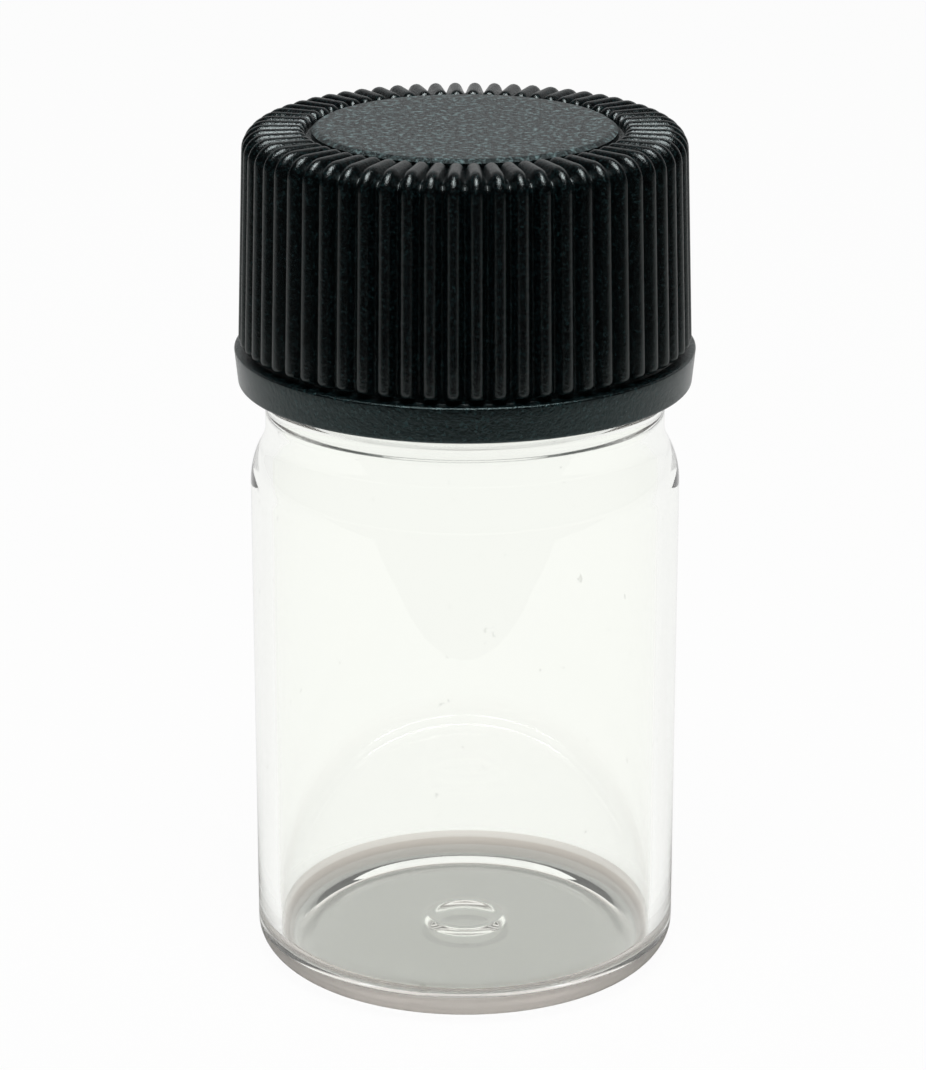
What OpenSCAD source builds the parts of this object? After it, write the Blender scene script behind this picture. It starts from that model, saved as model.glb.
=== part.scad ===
// Glass sample vial with a ribbed screw cap and a flat sealing liner.
// Millimetres, +Z up, the axis of the vial is Z and the vial stands on Z = 0.

/* [Vial body] */
// Outside diameter of the glass body
body_d = 22; // [21:0.5:36]
// Thickness of the glass side wall
wall = 1.1; // [0.8:0.1:1.6]
// Thickness of the glass floor over the push-up
floor_t = 0.8; // [0.6:0.1:2]
// Rise of the underside inside the standing ring
push_up = 0.3; // [0.1:0.05:0.6]
// Radius of the outside heel
heel_r = 1.5; // [0.8:0.1:2.5]
// Radius of the inside corner between floor and wall
corner_r = 1.2; // [0.6:0.1:2]
// Diameter of the tooling mark at the middle of the floor
pip_d = 4.6; // [2:0.2:7]
// Rise of the tooling mark above the floor
pip_h = 0.3; // [0.1:0.05:0.5]
// Height at which the straight side ends and the shoulder starts
side_h = 25.75; // [14:0.25:60]
// Radius of the outside shoulder
shoulder_r = 4; // [3:0.1:5]

/* [Neck] */
// Diameter of the neck between the threads
neck_d = 17.2; // [12:0.1:17.6]
// Thickness of the glass wall of the neck
neck_wall = 1.4; // [1.2:0.1:3]
// Distance that the collar under the cap stands out from the neck
bead_out = 1.6; // [1.5:0.05:1.8]
// Height of the collar, from the end of the shoulder to its top
bead_h = 1.5; // [1.2:0.05:3]
// Thickness of the glass of the collar
bead_wall = 1.15; // [1:0.05:1.4]
// Height of the rim above the top of the collar
neck_h = 11.05; // [10.5:0.05:16]
// Radius of the rounded rim edges
rim_r = 0.4; // [0.2:0.05:0.5]

/* [Screw thread] */
// Rise of the thread in one turn
pitch = 3.175; // [2.8:0.025:3.6]
// Height of the glass thread over the neck
thread_h = 1.05; // [0.8:0.05:1.1]
// Turns of thread on the glass and in the cap
thread_turns = 1.5; // [1:0.25:1.75]
// Clearance between the loaded flanks of the two threads
flank_gap = 0.15; // [0.1:0.05:0.3]
// Clearance between each thread crest and the wall that it faces
crest_gap = 0.25; // [0.2:0.05:0.35]

/* [Cap] */
// Thickness of the skirt wall at the bottom of the grooves between ribs
skirt_wall = 1.05; // [0.8:0.05:1.6]
// Thickness of the cap over the liner
top_t = 1.55; // [1.2:0.05:2.5]
// Gap between the collar and the skirt when the cap is tight
skirt_gap = 0.85; // [0.4:0.05:2]
// Number of ribs round the cap
rib_count = 62; // [40:2:80]
// Gap between two ribs at their inner ends on the top
rib_gap = 0.06; // [0.04:0.01:0.2]
// Depth that each rib is sunk into the skirt below its widest point
rib_sink = 0.17; // [0.05:0.01:0.2]
// Radius of the rib crowns over the top edge
edge_r = 1.2; // [0.9:0.05:1.6]
// Inward lean of the ribbed skirt in degrees
draft = 1.9; // [0:0.1:3]
// Height of the smooth band at the bottom of the skirt
band_h = 1.85; // [1:0.05:3]
// Distance that the band stands out from the rib crowns above it
band_proud = 0.2; // [0.15:0.01:0.6]
// Narrowing of the band from its top to its bottom, on the radius
band_taper = 0.16; // [0:0.01:0.3]
// Length of the ribs over the top, from the skirt wall to their inner ends beside the disc
rib_top = 3; // [2.4:0.05:5]
// Width of the sloped edge of the raised disc
disc_bevel = 0.3; // [0.1:0.02:0.4]
// Width of the ring groove between the disc and the ribs
ring_w = 0.3; // [0.1:0.05:0.5]

/* [Liner] */
// Thickness of the liner
liner_t = 1.2; // [0.8:0.05:2]
// Clearance round the edge of the liner
liner_gap = 0.3; // [0.15:0.05:0.6]
// Clearance over and under the liner
seal_gap = 0.05; // [0.02:0.01:0.1]

/* [Hidden] */
$fn = 96;

// worked-out sizes are rounded to 0.001 mm, so that two shapes that meet have the same numbers
function micron(v) = round(v * 1000) / 1000;

// vial radii and heights, from the ground up
body_r = body_d / 2;
inner_r = body_r - wall;
neck_r = neck_d / 2;
bead_r = neck_r + bead_out;
mouth_r = neck_r - neck_wall;
pip_r = pip_d / 2;
// the tooling mark shows half as high on the underside
under_pip_h = pip_h / 2;
// the vial stands on a flat ring, and the underside slopes up inside it
foot_w = 0.9;
foot_slope_w = 1.2;
floor_z = push_up + floor_t;
bead_fillet = 2;
bead_edge = 0.45;
root_fillet = 0.8;
// the glass turns in over the collar on two small arcs
turn_r = 0.9;
shoulder_lean = 60;
turn_lean = 75;

// a shoulder is two arcs that lean in by the same angle, up to the most, with a slope between them
function lean(drop, radii, most) = min(most, acos(max(-1, 1 - drop / radii)));
function slope(drop, radii, most) =
    (drop - radii * (1 - cos(lean(drop, radii, most)))) / sin(lean(drop, radii, most));
function rise(drop, radii, most) =
    radii * sin(lean(drop, radii, most)) + slope(drop, radii, most) * cos(lean(drop, radii, most));

outer_drop = body_r - bead_r;
bead_z = micron(side_h + rise(outer_drop, shoulder_r + bead_fillet, shoulder_lean));
bead_top = bead_z + bead_h;
rim_z = bead_top + neck_h;
// inside, the glass keeps about the same thickness over the shoulder and the collar
inner_bead_r = bead_r - bead_wall;
inner_drop = inner_r - inner_bead_r;
inner_shoulder_r = shoulder_r - wall;
inner_fillet = bead_fillet + bead_wall;
inner_lag = 0.05;
inner_side_h = side_h + inner_lag;
turn_z = micron(inner_side_h + rise(inner_drop, inner_shoulder_r + inner_fillet, shoulder_lean));

// both threads: narrow at the crest, root_w wide up to a toe over the wall, and sunk into it by embed
thread_r = neck_r + thread_h;
crest_w = 0.6;
root_w = 1.6;
crest_round = 0.15;
toe = 0.1;
embed = 0.4;
// angle over which a thread rises from the wall, and the angle from one section to the next
run_out = 50;
step = 10;
// the glass thread ends below the rim, and its middle line starts thread_turns lower
thread_land = 1.6;
thread_z = rim_z - thread_land - pitch * thread_turns;

// cap radii and heights
bore_r = thread_r + crest_gap;
cap_crest_r = neck_r + crest_gap;
skirt_z = bead_top + skirt_gap;
liner_z = rim_z + seal_gap;
ceiling_z = liner_z + liner_t + seal_gap;
disc_z = ceiling_z + top_t;
crown_lift = 0.03;
crown_z = disc_z + crown_lift;
band_z = skirt_z + band_h;
band_edge = 0.12;
lip = 0.15;
lead_in = 0.4;

// the skirt core is skirt_wall thick where the ribs stand on the band, and they are sunk into it
rib_foot = 0.3;
core_foot_r = bore_r + skirt_wall;
rib_in = core_foot_r - rib_top;
disc_r = rib_in - ring_w - disc_bevel;
// ribs: their radius leaves rib_gap between two inner ends
rib_r = micron((2 * PI * rib_in / rib_count - rib_gap) / (2 - 2 * PI / rib_count));
groove = rib_r + rib_sink;
crown_foot_r = micron(core_foot_r + groove / cos(draft));
band_r = crown_foot_r + band_proud;
edge_z = crown_z - edge_r;
edge_x = micron(crown_foot_r - (edge_z - band_z) * tan(draft) - edge_r / cos(draft));
root_depth = 0.25;
rib_root = rib_sink + root_depth;
spine_r = edge_r - rib_r;
core_edge_r = edge_r - groove;

// the cap's thread lies under the glass one, at the same angle, with flank_gap between them
cap_thread_z = thread_z - (crest_w + root_w) / 2 - flank_gap;

// points on an arc about (x, z), from angle a to angle b
function arc(x, z, r, a, b, n) =
    [for (i = [0 : n]) let (t = a + (b - a) * i / n) [x + r * cos(t), z + r * sin(t)]];

// a shoulder from (r0, z0) inward by drop: r1 rounds its start and r2 its end
function shoulder(r0, z0, drop, r1, r2, most, n) =
    let (t = lean(drop, r1 + r2, most), z1 = z0 + rise(drop, r1 + r2, most))
    concat(
        arc(r0 - r1, z0, r1, 0, t, n),
        arc(r0 - drop + r2, z1, r2, 180 + t, 180, n)
    );

function reversed(points) = [for (i = [len(points) - 1 : -1 : 0]) points[i]];

// a low dome of radius r and height h on the level z, from its middle to its edge
function dome(r, h, z, n) =
    let (bow = (r * r + h * h) / (2 * h))
    arc(0, z + h - bow, bow, 90, 90 - asin(r / bow), n);

// outside of the glass, from the middle of the underside to the rim
function glass_outside() = concat(
    dome(pip_r, under_pip_h, push_up, 4),
    [[body_r - heel_r - foot_w - foot_slope_w, push_up], [body_r - heel_r - foot_w, 0]],
    arc(body_r - heel_r, heel_r, heel_r, -90, 0, 10),
    shoulder(body_r, side_h, outer_drop, shoulder_r, bead_fillet, shoulder_lean, 8),
    arc(bead_r - bead_edge, bead_top - bead_edge, bead_edge, 0, 90, 5),
    arc(neck_r + root_fillet, bead_top + root_fillet, root_fillet, 270, 180, 5),
    arc(neck_r - rim_r, rim_z - rim_r, rim_r, 0, 90, 5)
);

// inside of the glass, from the middle of the floor to the rim
function glass_inside() = concat(
    dome(pip_r, pip_h, floor_z, 6),
    arc(inner_r - corner_r, floor_z + corner_r, corner_r, -90, 0, 8),
    shoulder(inner_r, inner_side_h, inner_drop, inner_shoulder_r, inner_fillet, shoulder_lean, 8),
    shoulder(inner_bead_r, turn_z, inner_bead_r - mouth_r, turn_r, turn_r, turn_lean, 6),
    arc(mouth_r + rim_r, rim_z - rim_r, rim_r, 180, 90, 5)
);

// size of the thread section at an angle from its start: it is thinned at both ends, inside the wall
function fullness(a, whole) = let (end = 0.12) end + (1 - end) * min(1, a / run_out, (whole - a) / run_out);

// one swept ridge on the wall at wall_r: it reaches from base, inside the wall, out to crest
module thread(base, wall_r, crest, start_z) {
    whole = 360 * thread_turns;
    count = round(whole / step);
    side = sign(crest - base);
    foot = wall_r + side * toe;
    knee = crest - side * crest_round;
    section = [
        [base, -root_w / 2],
        [foot, -root_w / 2],
        [knee, -crest_w / 2 - crest_round / 2],
        [crest, -crest_w / 2 + crest_round / 2],
        [crest, crest_w / 2 - crest_round / 2],
        [knee, crest_w / 2 + crest_round / 2],
        [foot, root_w / 2],
        [base, root_w / 2]
    ];
    sides = len(section);
    points = [
        for (i = [0 : count], p = section)
            let (
                a = whole * i / count,
                f = fullness(a, whole),
                r = base + (p[0] - base) * f
            )
            [r * cos(a), r * sin(a), start_z + pitch * a / 360 + p[1] * (1 + f) / 2]
    ];
    // each four-sided patch is twisted, so it is two triangles
    patches = [
        for (i = [0 : count - 1], j = [0 : sides - 1], half = [0, 1])
            let (
                a = i * sides + j,
                b = i * sides + (j + 1) % sides,
                c = b + sides,
                d = a + sides
            )
            half == 0 ? [a, b, c] : [a, c, d]
    ];
    ends = [
        [for (j = [sides - 1 : -1 : 0]) j],
        [for (j = [0 : sides - 1]) count * sides + j]
    ];
    faces = concat(patches, ends);
    inward = side < 0;
    polyhedron(points, inward ? [for (f = faces) reversed(f)] : faces, convexity = 8);
}

module vial() {
    color([0.86, 0.92, 0.92, 0.45])
    union() {
        rotate_extrude()
            polygon(concat(glass_outside(), reversed(glass_inside())));
        thread(neck_r - embed, neck_r, thread_r, thread_z);
    }
}

// skirt, top, raised disc and smooth band as one turned section
module cap_core() {
    core_top = crown_z - groove;
    outside = concat(
        [[band_r - band_taper - lip, skirt_z], [band_r - band_taper, skirt_z + lip]],
        [[band_r, band_z - band_edge], [band_r - band_edge, band_z], [core_foot_r, band_z]],
        arc(edge_x, edge_z, core_edge_r, draft, 90, 4),
        [[disc_r + disc_bevel, core_top], [disc_r + disc_bevel, core_top + lip]],
        [[disc_r, disc_z], [0, disc_z]]
    );
    inside = [
        [0, ceiling_z],
        [bore_r - lip, ceiling_z],
        [bore_r, ceiling_z - lip],
        [bore_r, skirt_z + lead_in],
        [bore_r + lead_in, skirt_z]
    ];
    rotate_extrude()
        polygon(concat(outside, inside));
}

// section of a rib: x is the height over its widest line, and it is rounded above and square below
module rib_section() {
    intersection() {
        circle(r = rib_r);
        translate([0, -2 * rib_r])
            square([2 * rib_r, 4 * rib_r]);
    }
    polygon([[-rib_root, -rib_r], [0, -rib_r], [0, rib_r], [-rib_root, rib_r]]);
}

// rounded inner end of a rib: a quarter ball on a half column
module rib_nose() {
    rotate([0, 0, 90])
        rotate_extrude(angle = 180)
        union() {
            intersection() {
                circle(r = rib_r);
                square([2 * rib_r, 2 * rib_r]);
            }
            polygon([[0, -rib_root], [rib_r, -rib_root], [rib_r, 0], [0, 0]]);
        }
}

// one rib: up the skirt, round the top edge and inward to its rounded end beside the disc
module rib() {
    skirt_run = micron((edge_z - band_z + rib_foot) / cos(draft) + spine_r * tan(draft));
    top_run = micron(edge_x - rib_in - rib_r);
    translate([edge_x, 0, edge_z]) {
        rotate([0, -draft, 0])
            translate([spine_r, 0, 0])
            rotate([180, 0, 0])
            linear_extrude(height = skirt_run)
            rib_section();
        rotate([90, 0, 0])
            rotate_extrude(angle = 90 - draft, start = draft)
            translate([spine_r, 0])
            rib_section();
        translate([0, 0, spine_r])
            rotate([0, -90, 0])
            linear_extrude(height = top_run)
            rib_section();
        translate([-top_run, 0, spine_r])
            rib_nose();
    }
}

module cap() {
    color([0.11, 0.12, 0.12])
    union() {
        cap_core();
        for (i = [0 : rib_count - 1])
            rotate([0, 0, 360 * i / rib_count])
            rib();
        thread(bore_r + embed, bore_r, cap_crest_r, cap_thread_z);
    }
}

// soft disc held in the top of the cap, pressed on the rim by the screw
module liner() {
    edge = 0.1;
    liner_r = bore_r - liner_gap;
    color([0.9, 0.88, 0.82])
    rotate_extrude()
        polygon([
            [0, liner_z],
            [liner_r - edge, liner_z],
            [liner_r, liner_z + edge],
            [liner_r, liner_z + liner_t - edge],
            [liner_r - edge, liner_z + liner_t],
            [0, liner_z + liner_t]
        ]);
}

vial();
cap();
liner();
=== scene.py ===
"""Looks of a small glass sample vial with a ribbed screw cap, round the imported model.

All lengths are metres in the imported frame: +Z up, the vial on Z = 0, its axis on Z. MM turns
millimetres to metres, and angles are degrees until a tool wants them.
"""

import math

import bpy
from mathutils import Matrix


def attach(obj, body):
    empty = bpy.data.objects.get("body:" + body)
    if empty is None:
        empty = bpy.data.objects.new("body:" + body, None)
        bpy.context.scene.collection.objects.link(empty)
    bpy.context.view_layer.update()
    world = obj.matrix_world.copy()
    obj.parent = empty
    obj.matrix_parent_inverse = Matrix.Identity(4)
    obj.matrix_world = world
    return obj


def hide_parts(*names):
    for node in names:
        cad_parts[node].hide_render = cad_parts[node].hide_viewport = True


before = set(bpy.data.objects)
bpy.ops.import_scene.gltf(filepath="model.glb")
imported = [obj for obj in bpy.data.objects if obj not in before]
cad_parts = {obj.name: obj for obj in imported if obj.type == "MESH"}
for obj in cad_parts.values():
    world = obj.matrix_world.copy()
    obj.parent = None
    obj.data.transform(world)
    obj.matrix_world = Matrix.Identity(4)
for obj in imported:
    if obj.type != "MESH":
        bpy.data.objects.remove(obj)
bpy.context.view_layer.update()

MM = 0.001
HAIR = 0.001 * MM  # what lies closer than this is in the same place
AROUND = 192  # facets round the glass and the liner
CREASE = 40  # a sharper edge than this stays sharp in the shading
RIB_CREASE = 50  # the same for the cap, whose ribs are rounder

# ---------------------------------------------------------------- sizes of the glass
# outside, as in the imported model
BODY_R = 11 * MM
HEEL_R = 1.5 * MM
SHOULDER_Z = 25.75 * MM
SHOULDER_R = 4 * MM
HOLLOW_R = 2 * MM
BEAD_R = 10.2 * MM
BEAD_Z = 28.743 * MM
BEAD_TOP = 30.243 * MM
BEAD_EDGE = 0.45 * MM
NECK_R = 8.6 * MM
NECK_FILLET = 0.8 * MM
NECK_PARTS = 98
RIM_Z = 41.293 * MM
RIM_EDGE = 0.4 * MM
# inside, from the mouth down to the floor
MOUTH_R = 7.2 * MM
MOUTH_TURN_R = 1.2 * MM
TURN = 75  # degrees of both turns
TURN_DROP = 0.0986 * MM
COLLAR_TURN_R = 0.8 * MM
COLLAR_RISE = 0.06 * MM
COLLAR_R = 9.05 * MM
INNER_HOLLOW_R = 3.15 * MM
INNER_SHOULDER_R = 2.9 * MM
INNER_SHOULDER_Z = 25.8 * MM
INNER_R = 9.9 * MM
CORNER_R = 1.0 * MM
FLOOR_Z = 1.1 * MM
# lines as (outwards, up, parts), in millimetres. The underside is nearly flat, and steeper only
# near the standing ring: seen from in front, that slope mirrors at the back alone
UNDERSIDE_Z = 0.28 * MM
UNDERSIDE = (
    (2.3, 0, 2),
    (5.5, -0.08, 5),
    (0.3, -0.04, 1),
    (0.8, -0.14, 2),
    (0.25, -0.02, 1),
    (0.35, 0, 1),
)
# the floor inside, with the tooling mark: a low round lip about a shallow hollow
TOOLED_FLOOR = (
    (-6.3, 0.02, 1),
    (-0.25, 0.02, 1),
    (-0.2, 0.06, 1),
    (-0.15, 0.09, 1),
    (-0.1, 0.04, 1),
    (-0.15, 0, 1),
    (-0.15, -0.05, 1),
    (-0.2, -0.07, 1),
    (-0.3, -0.05, 1),
    (-1.1, -0.04, 3),
)
# the foot is scuffed, and tinted a darker warm grey as painted shade, outside this radius and
# below this height
SCUFF_R = 9.4 * MM
SCUFF_Z = 1.6 * MM

# ---------------------------------------------------------------- sizes of the thread
THREAD_PITCH = 3.175 * MM
THREAD_TURNS = 1.5
THREAD_RISE = 1.05 * MM
THREAD_START = 34.9305 * MM
THREAD_CREST = 0.6 * MM
THREAD_FOOT = 1.6 * MM
THREAD_RUN_OUT = 50  # degrees over which it fades at each end
THREAD_BELOW = 1.25 * MM  # how far the cap's thread lies under the one of the glass

# ---------------------------------------------------------------- sizes of the cap
CROWN_Z = 44.173 * MM
CROWN_X = 9.98 * MM
EDGE_R = 1.2 * MM
EDGE_Z = CROWN_Z - EDGE_R
RIB_COUNT = 62
RIB_DRAFT = 1.9  # degrees that the ribs lean in
RIB_END = 33.15 * MM
RIB_END_ROUND = 0.35 * MM
RIB_FOOT = RIB_END - 0.05 * MM
GROOVE = 0.56 * MM
# half of a rib across, from beyond the groove to the crown: (aside, up) in millimetres
RIB_HALF = (
    (0.7, -0.56),
    (0.5, -0.548),
    (0.455, -0.49),
    (0.326, -0.208),
    (0.25, -0.101),
    (0.135, -0.026),
)
NOSE_X = 8.37 * MM
NOSE_R = 0.4 * MM
DISC_R = 7.86 * MM
DISC_Z = CROWN_Z - GROOVE
# its gritty face lies inside this radius and above this height
DISC_FACE_R = 7.7 * MM
DISC_FACE_Z = CROWN_Z - 0.3 * MM
# the edge of the raised disc, from its ring groove to the middle
DISC_EDGE = (
    (-0.14, 0, 1),
    (-0.05, 0.02, 1),
    (-0.02, 0.33, 1),
    (-0.24, 0.165, 2),
    (-0.07, 0.015, 1),
    (-7.34, 0, 6),
)
LEDGE_R = 11.02 * MM
LEDGE_Z = 32.943 * MM
BAND_R = 11.71 * MM
BAND_TOP_EDGE = 0.12 * MM
BAND_LOW_EDGE = 0.15 * MM
BAND_TAPER = 0.16 * MM
SKIRT_Z = 31.093 * MM
LEAD_IN = 0.4 * MM
BORE_R = 9.9 * MM
BORE_PARTS = 110
CEILING_Z = 42.593 * MM
CEILING_EDGE = 0.15 * MM

# ---------------------------------------------------------------- sizes of the liner
LINER_R = 9.6 * MM
LINER_Z = 41.343 * MM
LINER_THICK = 1.2 * MM
LINER_EDGE = 0.1 * MM
LINER_FACE = (
    (7, 0, 4),
    (0.2, 0.05, 1),
    (1.4, 0, 2),
    (0.2, -0.05, 1),
    (0.7, 0, 1),
)


# ---------------------------------------------------------------- colours and nodes
def srgb(code):
    """A hex colour as written, turned to linear."""
    parts = [int(code[i : i + 2], 16) / 255 for i in (1, 3, 5)]
    return tuple(
        c / 12.92 if c <= 0.04045 else ((c + 0.055) / 1.055) ** 2.4 for c in parts
    ) + (1.0,)


WHITE = srgb("#ffffff")


def add(tree, kind, feeds=None, **settings):
    """A node of that kind.

    feeds holds, by a socket's name or number, an output to link or a value. settings holds
    properties or, by a socket's name, values.
    """
    node = tree.nodes.new(kind)
    for name, value in settings.items():
        if hasattr(node, name):
            setattr(node, name, value)
        else:
            node.inputs[name.replace("_", " ")].default_value = value
    for name, source in (feeds or {}).items():
        if isinstance(source, bpy.types.NodeSocket):
            tree.links.new(source, node.inputs[name])
        else:
            node.inputs[name].default_value = source
    return node


def new_material(name):
    material = bpy.data.materials.new(name)
    material.use_nodes = True
    material.node_tree.nodes.clear()
    return material


# ---------------------------------------------------------------- shaping by hand
def pick_nothing():
    if bpy.context.object and bpy.context.object.mode != "OBJECT":
        bpy.ops.object.mode_set(mode="OBJECT")
    bpy.ops.object.select_all(action="DESELECT")


def pick_points(piece, wanted):
    """Selects the points whose place passes the test, in edit mode."""
    bpy.ops.mesh.select_all(action="DESELECT")
    bpy.ops.object.mode_set(mode="OBJECT")
    for vertex in piece.data.vertices:
        vertex.select = wanted(*vertex.co)
    bpy.ops.object.mode_set(mode="EDIT")


def start_outline(name, x, z, y=0):
    """One vertex at (x, y, z), ready to draw the outline of a piece."""
    pick_nothing()
    bpy.ops.mesh.primitive_plane_add(size=MM, location=(0, 0, 0))
    piece = bpy.context.object
    piece.name = name
    bpy.ops.object.mode_set(mode="EDIT")
    bpy.ops.mesh.select_all(action="SELECT")
    bpy.ops.mesh.merge(type="CENTER")
    bpy.ops.transform.translate(value=(x, y, z))
    return piece


def pull(dx, dy, dz):
    """What is selected is extruded by that much."""
    bpy.ops.mesh.extrude_region_move(TRANSFORM_OT_translate={"value": (dx, dy, dz)})


def line(dx, dz, parts=1):
    """The outline goes on straight in the plane of X and Z."""
    for _ in range(parts):
        pull(dx / parts, 0, dz / parts)


def lines(steps):
    """The outline goes on through lines of (outwards, up, parts), in millimetres."""
    for dx, dz, parts in steps:
        line(dx * MM, dz * MM, parts)


def arc(x, z, degrees, steps):
    """The outline goes on round (x, z) by that angle, from X towards Z where it is positive."""
    bpy.ops.mesh.spin(
        steps=steps, angle=math.radians(degrees), center=(x, 0, z), axis=(0, 1, 0)
    )


def turn_outline(steps):
    """The outline is spun round the axis, closed, and its faces point outwards."""
    bpy.ops.mesh.select_all(action="SELECT")
    bpy.ops.mesh.spin(steps=steps, angle=math.tau, center=(0, 0, 0), axis=(0, 0, 1))
    bpy.ops.mesh.select_all(action="SELECT")
    bpy.ops.mesh.remove_doubles(threshold=2 * HAIR)
    face_outwards()


def face_outwards():
    bpy.ops.mesh.select_all(action="SELECT")
    bpy.ops.mesh.normals_make_consistent(inside=False)
    bpy.ops.mesh.select_all(action="DESELECT")
    bpy.ops.object.mode_set(mode="OBJECT")


# ---------------------------------------------------------------- the thread
def ease(t):
    t = min(1.0, max(0.0, t))
    return t * t * (3 - 2 * t)


def thread_height(angle, z):
    """How far the thread stands out of its wall at that angle, in degrees, and height."""
    best = 0.0
    whole = 360 * THREAD_TURNS
    for turn in range(2):
        along = angle + 360 * turn
        if along > whole:
            continue
        away = abs(z - THREAD_START - THREAD_PITCH * along / 360)
        full = ease(min(along, whole - along) / THREAD_RUN_OUT)
        flank = (THREAD_FOOT / 2 - away) / ((THREAD_FOOT - THREAD_CREST) / 2)
        best = max(best, THREAD_RISE * full * ease(flank))
    return best


def raise_thread(piece, wall_r, way, below):
    """The wall at that radius is pushed into a thread: outwards for way 1, inwards for -1."""
    for vertex in piece.data.vertices:
        x, y, z = vertex.co
        radius = math.hypot(x, y)
        if abs(radius - wall_r) < 2 * HAIR:
            rise = thread_height(math.degrees(math.atan2(y, x)) % 360, z + below)
            vertex.co.x *= 1 + way * rise / radius
            vertex.co.y *= 1 + way * rise / radius


# ---------------------------------------------------------------- the glass
def make_vial():
    vial = start_outline("vial_glass", 0, UNDERSIDE_Z)
    lines(UNDERSIDE)
    arc(BODY_R - HEEL_R, HEEL_R, 90, 14)
    line(0, SHOULDER_Z - HEEL_R, 10)
    # the shoulder is a round and a hollow of the same angle
    lean = math.degrees(math.acos(1 - (BODY_R - BEAD_R) / (SHOULDER_R + HOLLOW_R)))
    arc(BODY_R - SHOULDER_R, SHOULDER_Z, lean, 12)
    arc(BEAD_R + HOLLOW_R, BEAD_Z, -lean, 10)
    line(0, BEAD_TOP - BEAD_EDGE - BEAD_Z)
    arc(BEAD_R - BEAD_EDGE, BEAD_TOP - BEAD_EDGE, 90, 8)
    line(NECK_R + NECK_FILLET - (BEAD_R - BEAD_EDGE), 0)
    arc(NECK_R + NECK_FILLET, BEAD_TOP + NECK_FILLET, -90, 8)
    line(0, RIM_Z - RIM_EDGE - BEAD_TOP - NECK_FILLET, NECK_PARTS)
    arc(NECK_R - RIM_EDGE, RIM_Z - RIM_EDGE, 90, 8)
    line(MOUTH_R + 2 * RIM_EDGE - NECK_R, 0)
    arc(MOUTH_R + RIM_EDGE, RIM_Z - RIM_EDGE, 90, 8)
    # inside, the glass turns out under the neck and follows the collar and the shoulder
    hollow = INNER_SHOULDER_R + INNER_HOLLOW_R
    lean = math.acos(1 - (INNER_R - COLLAR_R) / hollow)
    collar_z = INNER_SHOULDER_Z + hollow * math.sin(lean)
    turns = MOUTH_TURN_R + COLLAR_TURN_R
    turn = math.radians(TURN)
    turn_z = collar_z + COLLAR_RISE + TURN_DROP + turns * math.sin(turn)
    line(0, turn_z - (RIM_Z - RIM_EDGE))
    arc(MOUTH_R + MOUTH_TURN_R, turn_z, TURN, 12)
    line(COLLAR_R - MOUTH_R - turns * (1 - math.cos(turn)), -TURN_DROP)
    arc(COLLAR_R - COLLAR_TURN_R, collar_z + COLLAR_RISE, -TURN, 12)
    line(0, -COLLAR_RISE)
    arc(COLLAR_R + INNER_HOLLOW_R, collar_z, math.degrees(lean), 10)
    arc(INNER_R - INNER_SHOULDER_R, INNER_SHOULDER_Z, -math.degrees(lean), 10)
    line(0, FLOOR_Z + CORNER_R - INNER_SHOULDER_Z, 10)
    arc(INNER_R - CORNER_R, FLOOR_Z + CORNER_R, -90, 14)
    lines(TOOLED_FLOOR)
    turn_outline(AROUND)
    raise_thread(vial, NECK_R, 1, 0)
    bpy.ops.object.shade_smooth_by_angle(angle=math.radians(CREASE))
    return vial


def clear_glass(name, roughness, code):
    """Borosilicate tubing glass, drawn and flame-worked: clear, smooth and shiny.

    Its foot is scuffed from standing and sliding; a darker warm grey given to the foot is
    painted shade.
    """
    material = new_material(name)
    tree = material.node_tree
    place = add(tree, "ShaderNodeTexCoord")
    # a few faint marks of handling, about a millimetre apart at the closest: they dull the shine
    # and grey it a little
    marks = add(
        tree,
        "ShaderNodeTexNoise",
        {"Vector": place.outputs["Object"]},
        Scale=1 / (1.3 * MM),
        Detail=3.0,
        Roughness=0.65,
    )
    faint, full = 0.71, 0.77
    dull = add(
        tree,
        "ShaderNodeMapRange",
        {"Value": marks.outputs["Fac"]},
        From_Min=faint,
        From_Max=full,
        To_Min=roughness,
        To_Max=roughness + 0.25,
    )
    hue = add(tree, "ShaderNodeValToRGB", {"Fac": marks.outputs["Fac"]})
    clean, grey = hue.color_ramp.elements
    clean.position = faint
    clean.color = srgb(code)
    grey.position = full
    grey.color = srgb("#dadbd6")
    glass = add(
        tree,
        "ShaderNodeBsdfPrincipled",
        {"Base Color": hue.outputs["Color"], "Roughness": dull.outputs["Result"]},
        IOR=1.473,
        Transmission_Weight=1.0,
    )
    add(tree, "ShaderNodeOutputMaterial", {"Surface": glass.outputs["BSDF"]})
    return material


vial = make_vial()
vial.data.materials.append(clear_glass("borosilicate_tubing_glass", 0.0, "#fdfefb"))
# the foot's roughness is its scuffing; its darker warm grey #e0d8d0 is painted shade on the heel
vial.data.materials.append(clear_glass("scuffed_foot_glass_painted_shade", 0.35, "#e0d8d0"))
for face in vial.data.polygons:
    x, y, z = face.center
    if z < SCUFF_Z and math.hypot(x, y) > SCUFF_R:
        face.material_index = 1
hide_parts("vial")
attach(vial, "vial")


# ---------------------------------------------------------------- the cap and its liner
def round_end(way, groove, radius, steps, last):
    """The open end of the rib goes on that way in a quarter round, down to the groove's floor.

    groove is a point of that floor on the axis that the end is flattened along, steps are the
    degrees of the round, and last is how far the flattened end runs on.
    """

    def flatten(keep):
        value = [keep if part else 1 for part in groove]
        bpy.ops.transform.resize(value=value, center_override=groove)

    height = 1.0
    reach = 0.0
    for degrees in steps:
        angle = math.radians(degrees)
        step = radius * math.sin(angle) - reach
        pull(*(part * step for part in way))
        reach = radius * math.sin(angle)
        next_height = 1 - radius * (1 - math.cos(angle)) / GROOVE
        flatten(next_height / height)
        height = next_height
    for step, keep in ((0.01 * MM, 0.35), (last, 0)):
        pull(*(part * step for part in way))
        flatten(keep)


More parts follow.
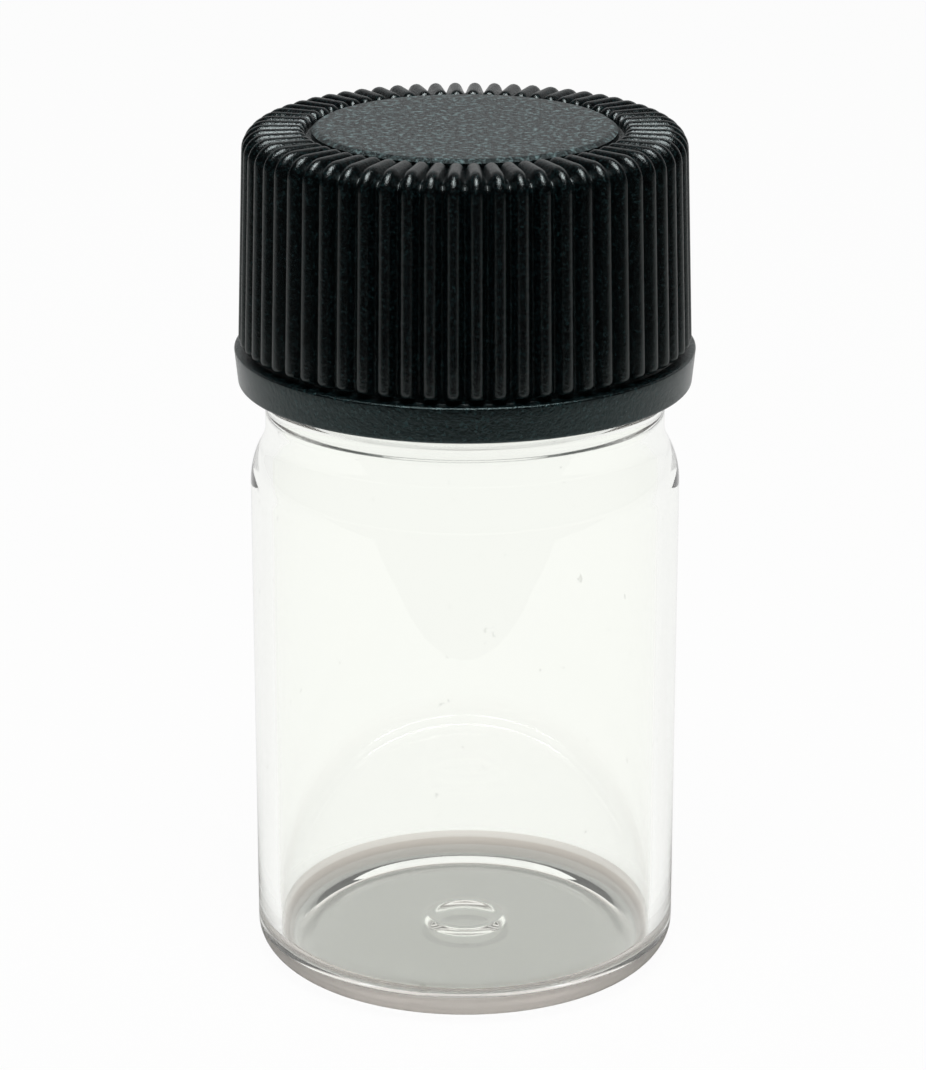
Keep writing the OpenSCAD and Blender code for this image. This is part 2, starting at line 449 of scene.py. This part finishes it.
def make_rib_sleeve():
    """One rib with half a groove on each side, from the ledge to the ring groove, then all."""
    lean = math.radians(RIB_DRAFT)
    foot_z = RIB_END + RIB_END_ROUND
    foot_x = CROWN_X + EDGE_R / math.cos(lean) + (EDGE_Z - foot_z) * math.tan(lean)
    section = [(-aside, up) for aside, up in RIB_HALF] + [(0, 0)]
    section += [(aside, up) for aside, up in reversed(RIB_HALF)]
    aside, up = section[0]
    sleeve = start_outline(
        "cap_shell",
        foot_x + up * MM * math.cos(lean),
        foot_z + up * MM * math.sin(lean),
        aside * MM,
    )
    for (aside, up), (next_aside, next_up) in zip(section, section[1:]):
        rise = (next_up - up) * MM
        pull(rise * math.cos(lean), (next_aside - aside) * MM, rise * math.sin(lean))
    # up the skirt, round the top edge, inward, and down the rounded nose
    bpy.ops.mesh.select_all(action="SELECT")
    rise = EDGE_Z + EDGE_R * math.sin(lean) - foot_z
    line(-rise * math.tan(lean), rise, 5)
    arc(CROWN_X, EDGE_Z, 90 - RIB_DRAFT, 9)
    line(NOSE_X - CROWN_X, 0, 4)
    round_end((-1, 0, 0), (0, 0, DISC_Z), NOSE_R, (20, 40, 60, 78, 90), 0.05 * MM)
    # the rounded lower end, over the ledge of the band
    pick_points(sleeve, lambda x, y, z: z < foot_z + HAIR)
    round_end(
        (0, 0, -1), (foot_x - GROOVE, 0, 0), RIB_END_ROUND, (25, 50, 72, 90), 0.04 * MM
    )
    bpy.ops.transform.resize(value=(1, 1, 0), center_override=(0, 0, RIB_FOOT))
    # cut along the middle of the groove on each side, and set all round
    turn = math.pi / RIB_COUNT
    for side in (1, -1):
        bpy.ops.mesh.select_all(action="SELECT")
        bpy.ops.mesh.bisect(
            plane_co=(0, 0, 0),
            plane_no=(-math.sin(turn), side * math.cos(turn), 0),
            clear_outer=True,
            threshold=0.1 * HAIR,
        )
    bpy.ops.mesh.select_all(action="SELECT")
    bpy.ops.mesh.spin(
        steps=RIB_COUNT - 1,
        dupli=True,
        angle=math.tau * (RIB_COUNT - 1) / RIB_COUNT,
        center=(0, 0, 0),
        axis=(0, 0, 1),
    )
    bpy.ops.mesh.select_all(action="SELECT")
    bpy.ops.mesh.remove_doubles(threshold=3 * HAIR)
    bpy.ops.object.mode_set(mode="OBJECT")
    return sleeve


def make_skirt():
    """The ledge under the ribs, the band, the underside, the threaded bore and the ceiling."""
    skirt = start_outline("cap_skirt", LEDGE_R, LEDGE_Z)
    low_r = BAND_R - BAND_TAPER
    low_z = SKIRT_Z + BAND_LOW_EDGE
    line(BAND_R - BAND_TOP_EDGE - LEDGE_R, 0, 2)
    arc(BAND_R - BAND_TOP_EDGE, LEDGE_Z - BAND_TOP_EDGE, -90, 5)
    line(-BAND_TAPER, low_z - (LEDGE_Z - BAND_TOP_EDGE), 4)
    arc(low_r - BAND_LOW_EDGE, low_z, -90, 5)
    line(BORE_R + LEAD_IN - (low_r - BAND_LOW_EDGE), 0, 2)
    line(-LEAD_IN, LEAD_IN)
    line(0, CEILING_Z - CEILING_EDGE - (SKIRT_Z + LEAD_IN), BORE_PARTS)
    arc(BORE_R - CEILING_EDGE, CEILING_Z - CEILING_EDGE, 90, 4)
    line(CEILING_EDGE - BORE_R, 0, 4)
    turn_outline(4 * RIB_COUNT)
    raise_thread(skirt, BORE_R, -1, THREAD_BELOW)
    return skirt


def make_cap():
    sleeve = make_rib_sleeve()
    skirt = make_skirt()
    disc = start_outline("cap_disc", DISC_R, DISC_Z)
    lines(DISC_EDGE)
    turn_outline(4 * RIB_COUNT)
    pick_nothing()
    for piece in (sleeve, skirt, disc):
        piece.select_set(True)
    bpy.context.view_layer.objects.active = sleeve
    bpy.ops.object.join()
    bpy.ops.object.mode_set(mode="EDIT")
    # the gaps from the ribs to the ledge and to the disc are closed
    for low, high, inner, outer in (
        (LEDGE_Z, RIB_FOOT, LEDGE_R - 0.22 * MM, LEDGE_R + 0.01 * MM),
        (DISC_Z, DISC_Z, DISC_R - 0.01 * MM, DISC_R + 0.08 * MM),
    ):
        pick_points(
            sleeve,
            lambda x, y, z: low - HAIR < z < high + HAIR
            and inner < math.hypot(x, y) < outer,
        )
        bpy.ops.mesh.select_mode(type="EDGE")
        bpy.ops.mesh.bridge_edge_loops()
        bpy.ops.mesh.select_mode(type="VERT")
    face_outwards()
    bpy.ops.object.shade_smooth_by_angle(angle=math.radians(RIB_CREASE))
    return sleeve


def make_liner():
    """A pressed disc of foam with a shallow ring where the rim of the glass seals."""
    liner = start_outline("cap_liner", 0, LINER_Z)
    lines(LINER_FACE)
    arc(LINER_R - LINER_EDGE, LINER_Z + LINER_EDGE, 90, 4)
    line(0, LINER_THICK - 2 * LINER_EDGE, 2)
    arc(LINER_R - LINER_EDGE, LINER_Z + LINER_THICK - LINER_EDGE, 90, 4)
    line(LINER_EDGE - LINER_R, 0, 4)
    turn_outline(AROUND)
    bpy.ops.object.shade_smooth_by_angle(angle=math.radians(CREASE))
    return liner


def black_phenolic(name, grain_depth, speck_size, speck_code, roughness, tint):
    """Compression-moulded phenolic: near black and hard, with the mould's grain.

    A blue-green speckle of its filler shows in it; on the disc the specks are much paler, as
    painted glints of its grit. The ribs come out of a polished mould with a satin skin. The disc
    and the band come out of a spark-eroded one: the disc is gritty, the band finer.
    """
    material = new_material(name)
    tree = material.node_tree
    place = add(tree, "ShaderNodeTexCoord")
    # the grain is drawn at 0.25 mm, a little coarser than it is, so that it shows
    grain = add(
        tree,
        "ShaderNodeTexNoise",
        {"Vector": place.outputs["Object"]},
        Scale=1 / (0.25 * MM),
        Detail=4.0,
        Roughness=0.75,
    )
    bump = add(
        tree,
        "ShaderNodeBump",
        {"Height": grain.outputs["Fac"]},
        Strength=1.0,
        Distance=grain_depth,
    )
    # the filler shows as paler specks in a near black resin; the disc's far paler ones are
    # painted glints
    filler = add(
        tree,
        "ShaderNodeTexNoise",
        {"Vector": place.outputs["Object"]},
        Scale=1 / speck_size,
        Detail=2.0,
        Roughness=0.7,
    )
    specks = add(tree, "ShaderNodeValToRGB", {"Fac": filler.outputs["Fac"]})
    resin, speck = specks.color_ramp.elements
    resin.position = 0.5
    resin.color = srgb("#010203")
    speck.position = 0.72
    speck.color = srgb(speck_code)
    skin = add(
        tree,
        "ShaderNodeBsdfPrincipled",
        {"Base Color": specks.outputs["Color"], "Normal": bump.outputs["Normal"]},
        Roughness=roughness,
        IOR=1.6,
        Specular_Tint=srgb(tint),
    )
    add(tree, "ShaderNodeOutputMaterial", {"Surface": skin.outputs["BSDF"]})
    return material


def soft_liner():
    """Pressed foam sheet, matt and off-white, with fine cells."""
    material = new_material("pressed_foam_sheet")
    tree = material.node_tree
    place = add(tree, "ShaderNodeTexCoord")
    cells = add(
        tree,
        "ShaderNodeTexNoise",
        {"Vector": place.outputs["Object"]},
        Scale=1 / (0.25 * MM),
        Detail=3.0,
    )
    bump = add(
        tree,
        "ShaderNodeBump",
        {"Height": cells.outputs["Fac"]},
        Strength=0.4,
        Distance=0.04 * MM,
    )
    skin = add(
        tree,
        "ShaderNodeBsdfPrincipled",
        {"Normal": bump.outputs["Normal"]},
        Base_Color=srgb("#e6e3da"),
        Roughness=0.7,
    )
    add(tree, "ShaderNodeOutputMaterial", {"Surface": skin.outputs["BSDF"]})
    return material


def cap_finish(x, y, z):
    """The finish of the cap's skin at that place: 0 for the ribs, 1 the disc, 2 the band."""
    if z > DISC_FACE_Z and math.hypot(x, y) < DISC_FACE_R:
        return 1
    return 2 if z < LEDGE_Z + HAIR else 0


satin = black_phenolic(
    "moulded_black_phenolic",
    grain_depth=0.03 * MM,
    speck_size=0.15 * MM,
    speck_code="#1a2e30",
    roughness=0.24,
    tint="#eefafa",
)
# the disc's specks are far paler than the ribs' and the band's: painted glints of its grit,
# brightening the cap's top
gritty = black_phenolic(
    "eroded_black_phenolic_disc_painted_glints",
    grain_depth=0.12 * MM,
    speck_size=0.3 * MM,
    speck_code="#789294",
    roughness=0.3,
    tint="#e2fdff",
)
fine = black_phenolic(
    "eroded_black_phenolic_band",
    grain_depth=0.06 * MM,
    speck_size=0.18 * MM,
    speck_code="#24393b",
    roughness=0.19,
    tint="#dcfdff",
)
for piece, node, finishes in (
    (make_cap(), "cap", (satin, gritty, fine)),
    (make_liner(), "liner", (soft_liner(),)),
):
    piece.data.materials.clear()
    for finish in finishes:
        piece.data.materials.append(finish)
    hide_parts(node)
    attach(piece, node)
    if node == "cap":
        for face in piece.data.polygons:
            face.material_index = cap_finish(*face.center)


# ---------------------------------------------------------------- floor, light and camera
FLOOR_SIZE = 4
FLOOR_DROP = 0.03 * MM
LAMP_TURN = 22  # degrees to each side
LAMP_AWAY = 0.11
LAMP_HEIGHT = 0.42
LAMP_TILT = 15.5
LAMP_WIDTH = 0.1
LAMP_LENGTH = 0.2
LAMP_WATTS = 0.72
CARD_SIZE = (0.6, 0.35, 1)
CARD_PLACE = (0, -0.237, 0.0005)
CAMERA_PLACE = (0, -0.1819, 0.0846)
CAMERA_DOWN = 18.83  # degrees below level
CAMERA_LENS = 125.06
CAMERA_SHIFT = -0.00187


def pale_floor():
    """Matt white board. It is shown white, also through the glass, and keeps the soft shade. Its
    glow is dimmed under the foot, a painted shade, and reflections see it bright mostly behind
    the vial, a painted reflection.
    """
    material = new_material("matt_white_board")
    tree = material.node_tree
    board = add(tree, "ShaderNodeBsdfDiffuse", Color=srgb("#e7e7e5"))
    white = add(tree, "ShaderNodeEmission", Color=WHITE, Strength=1.0)
    ray = add(tree, "ShaderNodeLightPath")
    place = add(tree, "ShaderNodeTexCoord")
    # through the glass the board's white glow is dimmed right under the foot, and clears away
    # from it: a painted shade under the vial
    away = add(
        tree, "ShaderNodeVectorMath", {0: place.outputs["Object"]}, operation="LENGTH"
    )
    clear = add(
        tree,
        "ShaderNodeMapRange",
        {"Value": away.outputs["Value"]},
        interpolation_type="SMOOTHSTEP",
        From_Min=8.3 * MM,
        From_Max=15 * MM,
        To_Min=0.16,
        To_Max=1.0,
    )
    # a shiny surface sees its white glow bright behind the vial, and dim at its sides and in
    # front of it: a painted reflection
    course = add(
        tree,
        "ShaderNodeVectorMath",
        {0: place.outputs["Object"]},
        operation="NORMALIZE",
    )
    parts = add(tree, "ShaderNodeSeparateXYZ", {"Vector": course.outputs["Vector"]})
    painted_reflection = add(
        tree,
        "ShaderNodeMapRange",
        {"Value": parts.outputs["Y"]},
        interpolation_type="SMOOTHSTEP",
        From_Min=0.5,
        From_Max=0.98,
        To_Min=0.03,
        To_Max=0.65,
    )
    gloss = add(
        tree,
        "ShaderNodeMath",
        {
            0: ray.outputs["Is Glossy Ray"],
            1: painted_reflection.outputs["Result"],
            2: ray.outputs["Is Transmission Ray"],
        },
        operation="MULTIPLY_ADD",
        use_clamp=True,
    )
    through = add(
        tree,
        "ShaderNodeMath",
        {0: gloss.outputs[0], 1: clear.outputs["Result"]},
        operation="MULTIPLY",
    )
    straight = add(
        tree,
        "ShaderNodeMath",
        {0: ray.outputs["Is Camera Ray"], 1: 0.96},
        operation="MULTIPLY",
    )
    shown = add(
        tree,
        "ShaderNodeMath",
        {0: straight.outputs[0], 1: through.outputs[0]},
        operation="MAXIMUM",
    )
    mixed = add(
        tree,
        "ShaderNodeMixShader",
        {0: shown.outputs[0], 1: board.outputs[0], 2: white.outputs[0]},
    )
    add(tree, "ShaderNodeOutputMaterial", {"Surface": mixed.outputs[0]})
    return material


def lay_floor():
    """The board lies a hair below the foot.

    Where both lie in one plane, the glass shows what is under the board.
    """
    pick_nothing()
    bpy.ops.mesh.primitive_plane_add(size=FLOOR_SIZE, location=(0, 0, -FLOOR_DROP))
    floor = bpy.context.object
    floor.name = "floor"
    floor.data.materials.append(pale_floor())


def studio():
    """A white tent behind, beside and over the vial, and a dim room in front of it.

    What is seen past the vial, or through its glass, is white.
    """
    world = bpy.data.worlds.new("studio")
    bpy.context.scene.world = world
    world.use_nodes = True
    tree = world.node_tree
    tree.nodes.clear()
    way = add(tree, "ShaderNodeTexCoord")
    apart = add(tree, "ShaderNodeSeparateXYZ", {"Vector": way.outputs["Generated"]})
    # the tent stands turned a little, so that its right side is the brighter one
    turned = add(
        tree,
        "ShaderNodeMath",
        {0: apart.outputs["X"], 1: 0.12, 2: apart.outputs["Y"]},
        operation="MULTIPLY_ADD",
    )
    behind = add(
        tree,
        "ShaderNodeMapRange",
        {"Value": turned.outputs[0]},
        interpolation_type="SMOOTHSTEP",
        From_Min=0.45,
        From_Max=0.95,
        To_Min=0.015,
        To_Max=0.52,
    )
    tent = add(
        tree,
        "ShaderNodeBackground",
        {"Strength": behind.outputs["Result"]},
        Color=WHITE,
    )
    white = add(tree, "ShaderNodeBackground", Color=WHITE, Strength=1.0)
    ray = add(tree, "ShaderNodeLightPath")
    seen = add(
        tree,
        "ShaderNodeMath",
        {0: ray.outputs["Is Camera Ray"], 1: ray.outputs["Is Transmission Ray"]},
        operation="MAXIMUM",
    )
    mixed = add(
        tree,
        "ShaderNodeMixShader",
        {0: seen.outputs[0], 1: tent.outputs[0], 2: white.outputs[0]},
    )
    add(tree, "ShaderNodeOutputWorld", {"Surface": mixed.outputs[0]})


def softbox(name, side):
    """A soft lamp high up in front of the vial, on one side of it."""
    pick_nothing()
    turn = math.radians(LAMP_TURN) * side
    bpy.ops.object.light_add(
        type="AREA",
        location=(
            LAMP_AWAY * math.sin(turn),
            -LAMP_AWAY * math.cos(turn),
            LAMP_HEIGHT,
        ),
        rotation=(math.radians(LAMP_TILT), 0, turn),
    )
    lamp = bpy.context.object
    lamp.name = name
    lamp.data.shape = "RECTANGLE"
    lamp.data.size = LAMP_WIDTH
    lamp.data.size_y = LAMP_LENGTH
    lamp.data.energy = LAMP_WATTS


def dark_reflection_card():
    """Matt black card, laid in front of the vial, which only the gloss of the vial sees: a
    painted dark reflection in the cap and the glass, which nothing else sees or is shaded by.
    """
    material = new_material("painted_dark_reflection_card")
    tree = material.node_tree
    card = add(tree, "ShaderNodeBsdfDiffuse", Color=srgb("#080808"))
    add(tree, "ShaderNodeOutputMaterial", {"Surface": card.outputs[0]})
    pick_nothing()
    bpy.ops.mesh.primitive_plane_add(size=1, location=(0, 0, 0))
    piece = bpy.context.object
    piece.name = "dark_reflection_card"
    bpy.ops.object.mode_set(mode="EDIT")
    bpy.ops.transform.resize(value=CARD_SIZE)
    bpy.ops.transform.translate(value=CARD_PLACE)
    bpy.ops.object.mode_set(mode="OBJECT")
    piece.data.materials.append(material)
    # hidden from all but glossy rays, it only darkens reflections: a painted dark reflection
    for ray in ("camera", "diffuse", "transmission", "volume_scatter", "shadow"):
        setattr(piece, "visible_" + ray, False)


lay_floor()
studio()
softbox("softbox_left", -1)
softbox("softbox_right", 1)
dark_reflection_card()

pick_nothing()
bpy.ops.object.camera_add(
    location=CAMERA_PLACE, rotation=(math.radians(90 - CAMERA_DOWN), 0, 0)
)
camera = bpy.context.object
camera.data.lens = CAMERA_LENS
camera.data.sensor_width = 36
camera.data.shift_x = CAMERA_SHIFT
camera.data.clip_start = 0.01
scene = bpy.context.scene
scene.camera = camera
scene.view_settings.view_transform = "Standard"
# light runs a long way round inside the glass floor before it comes out
scene.cycles.max_bounces = 24
scene.cycles.glossy_bounces = 16
scene.cycles.transmission_bounces = 24
